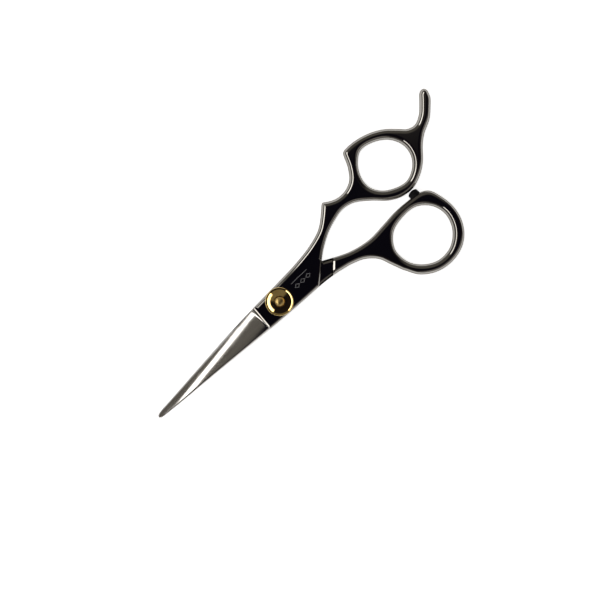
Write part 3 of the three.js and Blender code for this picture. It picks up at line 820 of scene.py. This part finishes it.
def ramp(tree, source, stops):
    """A colour ramp through (position, colour) stops."""
    r = tree.nodes.new("ShaderNodeValToRGB")
    while len(r.color_ramp.elements) < len(stops):
        r.color_ramp.elements.new(0.5)
    for element, (at, color) in zip(r.color_ramp.elements, stops):
        element.position = at
        element.color = (*color, 1)
    tree.links.new(source, r.inputs["Fac"])
    return r.outputs["Color"]


def remap(tree, source, low, high, out_low, out_high):
    """A smooth step from out_low to out_high as the source goes from low to high."""
    m = tree.nodes.new("ShaderNodeMapRange")
    m.interpolation_type = "SMOOTHSTEP"
    for key, value in (("From Min", low), ("From Max", high), ("To Min", out_low), ("To Max", out_high)):
        m.inputs[key].default_value = value
    tree.links.new(source, m.inputs["Value"])
    return m.outputs["Result"]


def bump(tree, shader, height, strength, distance):
    b = tree.nodes.new("ShaderNodeBump")
    b.inputs["Strength"].default_value = strength
    b.inputs["Distance"].default_value = distance
    tree.links.new(height, b.inputs["Height"])
    tree.links.new(b.outputs["Normal"], shader.inputs["Normal"])


def mix(tree, kind, factor, a, b):
    """Mixes two outputs, or an output and a colour, as "RGBA" or "FLOAT"."""
    m = tree.nodes.new("ShaderNodeMix")
    m.data_type = kind
    for socket, value in ((m.inputs["Factor"], factor), (m.inputs["A"], a), (m.inputs["B"], b)):
        if isinstance(value, tuple):
            socket.default_value = (*value, 1)
        else:
            tree.links.new(value, socket)
    return m.outputs["Result"]


BLADE_BLEND = 0.3                 # half the width over which polished steel turns satin
EDGE_TINT = (0.38, 0.37, 0.355)   # how much of the grazing reflection the polished steel keeps


def steel_material(name):
    """Mirror-polished handles and ricasso; the ground blades are satin, with fine lengthwise lines."""
    material, tree, shader, coords = new_material(name, (0.36, 0.345, 0.32), 1.0, 0.06)
    split = tree.nodes.new("ShaderNodeSeparateXYZ")
    tree.links.new(coords, split.inputs["Vector"])
    start, end = (RICASSO_END - BLADE_BLEND) * MM, (RICASSO_END + BLADE_BLEND) * MM
    blade = remap(tree, split.outputs["X"], start, end, 0.0, 1.0)
    lines = noise(tree, coords, 900, 3, (0.05, 3.2, 3.2))
    haze = noise(tree, coords, 160, 3)
    smudge = noise(tree, coords, 60, 5)
    polish = remap(tree, smudge, 0.35, 0.75, 0.035, 0.085)
    satin = remap(tree, haze, 0.3, 0.7, 0.1, 0.15)
    tree.links.new(mix(tree, "FLOAT", blade, polish, satin), shader.inputs["Roughness"])
    polished = ramp(tree, smudge, [(0.3, (0.27, 0.26, 0.243)), (0.7, (0.33, 0.318, 0.298))])
    brushed = ramp(tree, lines, [(0.3, (0.46, 0.45, 0.43)), (0.7, (0.56, 0.545, 0.525))])
    tree.links.new(mix(tree, "RGBA", blade, polished, brushed), shader.inputs["Base Color"])
    shader.inputs["Specular Tint"].default_value = (*EDGE_TINT, 1)
    bump(tree, shader, mix(tree, "FLOAT", blade, haze, lines), 0.06, 0.00002)
    return material


def gold_material(name, roughness):
    """Polished gold plate with slight wear."""
    material, tree, shader, coords = new_material(name, (0.85, 0.62, 0.23), 1.0, roughness)
    wear = noise(tree, coords, 500, 4)
    tree.links.new(ramp(tree, wear, [(0.3, (0.80, 0.56, 0.2)), (0.7, (0.88, 0.66, 0.27))]),
                   shader.inputs["Base Color"])
    tree.links.new(remap(tree, wear, 0.3, 0.7, roughness * 0.7, roughness * 1.4), shader.inputs["Roughness"])
    bump(tree, shader, wear, 0.05, 0.00001)
    return material


def turned_steel_material():
    """Fine turning rings about the pivot."""
    material, tree, shader, coords = new_material("turned_steel", (0.6, 0.6, 0.6), 1.0, 0.25)
    rings = tree.nodes.new("ShaderNodeTexWave")
    rings.wave_type = "RINGS"
    rings.rings_direction = "Z"
    rings.inputs["Scale"].default_value = 1500
    rings.inputs["Distortion"].default_value = 0.4
    tree.links.new(coords, rings.inputs["Vector"])
    tree.links.new(remap(tree, rings.outputs["Fac"], 0, 1, 0.2, 0.32), shader.inputs["Roughness"])
    tree.links.new(ramp(tree, rings.outputs["Fac"], [(0, (0.52, 0.52, 0.53)), (1, (0.62, 0.62, 0.62))]),
                   shader.inputs["Base Color"])
    bump(tree, shader, rings.outputs["Fac"], 0.15, 0.00001)
    return material


def etched_material():
    """Frosted steel, which scatters the light that the polish around it sends away."""
    material, tree, shader, coords = new_material("etched_steel", (0.2, 0.2, 0.21), 0.0, 0.6)
    frost = noise(tree, coords, 4000, 3)
    tree.links.new(ramp(tree, frost, [(0.3, (0.1, 0.1, 0.105)), (0.7, (0.17, 0.17, 0.175))]),
                   shader.inputs["Base Color"])
    tree.links.new(remap(tree, frost, 0.3, 0.7, 0.5, 0.7), shader.inputs["Roughness"])
    bump(tree, shader, frost, 0.2, 0.00001)
    return material


def rubber_material():
    """Moulded black rubber with a fine grain."""
    material, tree, shader, coords = new_material("moulded_rubber", (0.006, 0.006, 0.007), 0.0, 0.6)
    grain = noise(tree, coords, 2600, 4)
    mottle = noise(tree, coords, 500, 3)
    tree.links.new(ramp(tree, mottle, [(0.3, (0.004, 0.004, 0.005)), (0.7, (0.011, 0.011, 0.012))]),
                   shader.inputs["Base Color"])
    tree.links.new(remap(tree, grain, 0.3, 0.7, 0.55, 0.75), shader.inputs["Roughness"])
    shader.inputs["Specular IOR Level"].default_value = 0.15
    bump(tree, shader, grain, 0.35, 0.00003)
    return material


def plastic_material():
    """Natural acetal, faintly mottled."""
    material, tree, shader, coords = new_material("natural_acetal", (0.8, 0.77, 0.7), 0.0, 0.4)
    mottle = noise(tree, coords, 700, 3)
    tree.links.new(ramp(tree, mottle, [(0.3, (0.74, 0.71, 0.63)), (0.7, (0.83, 0.81, 0.74))]),
                   shader.inputs["Base Color"])
    tree.links.new(remap(tree, mottle, 0.3, 0.7, 0.34, 0.46), shader.inputs["Roughness"])
    bump(tree, shader, mottle, 0.1, 0.00002)
    return material


# ------------------------------------------------------------------ stage, light and camera
VIEW_CENTRE = Vector((-5.37, 4.43, 0)) * MM   # what the camera looks straight down on
FRAME_WIDTH = 204.1 * MM          # width of the picture at the handles' middle height
IMAGE_RIGHT = Vector((-0.7196, 0.6944, 0)).normalized()
IMAGE_UP = Vector((-0.6944, -0.7196, 0)).normalized()
LENS = 100
SENSOR = 36
FLOOR_HALF = 3.0                  # metres, like the fill's size and distance
FLOOR_GLOW = 0.78
FILL_SIZE, FILL_DISTANCE, FILL_POWER = 1.6, 1.2, 6
# The studio's shade by the height looked at, from 0 at the horizon to 1 straight up.
STUDIO_SHADE = [
    (0.0, (0.75, 0.74, 0.72)), (0.1, (0.42, 0.4, 0.38)), (0.3, (0.05, 0.042, 0.036)),
    (0.6, (0.016, 0.013, 0.015)), (0.9, (0.008, 0.007, 0.013)),
]
# Two large dim cards and one long softbox. Each is given as azimuth from +X and angle from straight up,
# both (low, high) in degrees, the softness of each in degrees, colour and strength.
STUDIO_LIGHTS = [
    ((-172, -48), (9, 70), (10, 5), (1.0, 0.92, 0.8), 0.17),
    ((50, 130), (52, 75), (12, 4), (1.0, 0.93, 0.86), 0.4),
    ((-87, 14), (41.5, 51.5), (2, 1.5), (1.0, 0.97, 0.93), 4.0),
]


def build_floor():
    """A plain pale floor, which glows a little so that it stays even."""
    mesh = bpy.data.meshes.new("floor")
    size = FLOOR_HALF
    corners = [(-size, -size, 0), (size, -size, 0), (size, size, 0), (-size, size, 0)]
    mesh.from_pydata(corners, [], [(0, 1, 2, 3)])
    floor = bpy.data.objects.new("floor", mesh)
    bpy.context.scene.collection.objects.link(floor)
    material, _, shader, _ = new_material("pale_floor", (0.9, 0.9, 0.9), 0.0, 0.9)
    shader.inputs["Specular IOR Level"].default_value = 0.0
    shader.inputs["Emission Color"].default_value = (1, 1, 1, 1)
    shader.inputs["Emission Strength"].default_value = FLOOR_GLOW
    mesh.materials.append(material)


def floor_fill():
    """Broad light from above that keeps the floor even; it isn't seen in the polish."""
    light = bpy.data.lights.new("floor_fill", "AREA")
    light.shape = "RECTANGLE"
    light.size, light.size_y = FILL_SIZE, FILL_SIZE
    light.energy = FILL_POWER
    lamp = bpy.data.objects.new("floor_fill", light)
    bpy.context.scene.collection.objects.link(lamp)
    lamp.location = Vector((0.1, 0.1, 1)).normalized() * FILL_DISTANCE
    lamp.rotation_euler = (-lamp.location).to_track_quat("-Z", "Y").to_euler()
    lamp.visible_glossy = False
    lamp.visible_camera = False


def math_node(tree, operation, *sources):
    """The result of an operation on one or two outputs."""
    m = tree.nodes.new("ShaderNodeMath")
    m.operation = operation
    for source, socket in zip(sources, m.inputs):
        tree.links.new(source, socket)
    return m.outputs[0]


def light_mask(tree, source, limits, soft):
    """1 where source is between two angles in degrees, with soft sides."""
    low, high, soft = [math.radians(v) for v in (*limits, soft)]
    rise = remap(tree, source, low - soft, low + soft, 0, 1)
    fall = remap(tree, source, high - soft, high + soft, 1, 0)
    return math_node(tree, "MULTIPLY", rise, fall)


def build_lights():
    """The fill, and a studio round the object: pale at the horizon, dark overhead, with its lights."""
    floor_fill()
    world = bpy.data.worlds.new("studio")
    bpy.context.scene.world = world
    world.use_nodes = True
    tree = world.node_tree
    background = tree.nodes["Background"]
    coords = tree.nodes.new("ShaderNodeTexCoord")
    split = tree.nodes.new("ShaderNodeSeparateXYZ")
    tree.links.new(coords.outputs["Generated"], split.inputs["Vector"])
    angle = math_node(tree, "ARCTAN2", split.outputs["Y"], split.outputs["X"])
    tilt = math_node(tree, "ARCCOSINE", split.outputs["Z"])
    shade = ramp(tree, split.outputs["Z"], STUDIO_SHADE)
    for azimuth, from_zenith, soft, color, strength in STUDIO_LIGHTS:
        across = light_mask(tree, angle, azimuth, soft[0])
        down = light_mask(tree, tilt, from_zenith, soft[1])
        both = math_node(tree, "MULTIPLY", across, down)
        shade = mix(tree, "RGBA", both, shade, tuple(c * strength for c in color))
    tree.links.new(shade, background.inputs["Color"])
    background.inputs["Strength"].default_value = 1.0


def build_camera():
    """Looks straight down, turned so that the tips point down to the left."""
    data = bpy.data.cameras.new("camera")
    data.lens = LENS
    data.sensor_width = SENSOR
    data.clip_start = 0.01
    camera = bpy.data.objects.new("camera", data)
    bpy.context.scene.collection.objects.link(camera)
    distance = FRAME_WIDTH * LENS / SENSOR
    back = IMAGE_RIGHT.cross(IMAGE_UP)
    location = VIEW_CENTRE + back * (distance + MIDDLE * MM)
    matrix = Matrix((IMAGE_RIGHT, IMAGE_UP, back)).transposed().to_4x4()
    matrix.translation = location
    camera.matrix_world = matrix
    bpy.context.scene.camera = camera


# ------------------------------------------------------------------ assembly
bpy.context.scene.view_settings.view_transform = "Standard"
build_camera()
build_lights()
build_floor()

steel = steel_material("polished_steel")
turned_steel = turned_steel_material()
plastic = plastic_material()
build_finger_half(steel)
build_thumb_half(steel)
build_dial(gold_material("dial_gold_plate", 0.05))
build_screw(gold_material("screw_gold_plate", 0.4))
build_stud(turned_steel)
build_etching(etched_material())
build_bumper(rubber_material())

for cad_name, cad_material in (("pivot_bushing", plastic), ("blade_washer", plastic),
                               ("click_plate", turned_steel), ("wave_spring", turned_steel),
                               ("bumper_stud", turned_steel)):
    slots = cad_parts[cad_name].data.materials
    slots.clear()
    slots.append(cad_material)
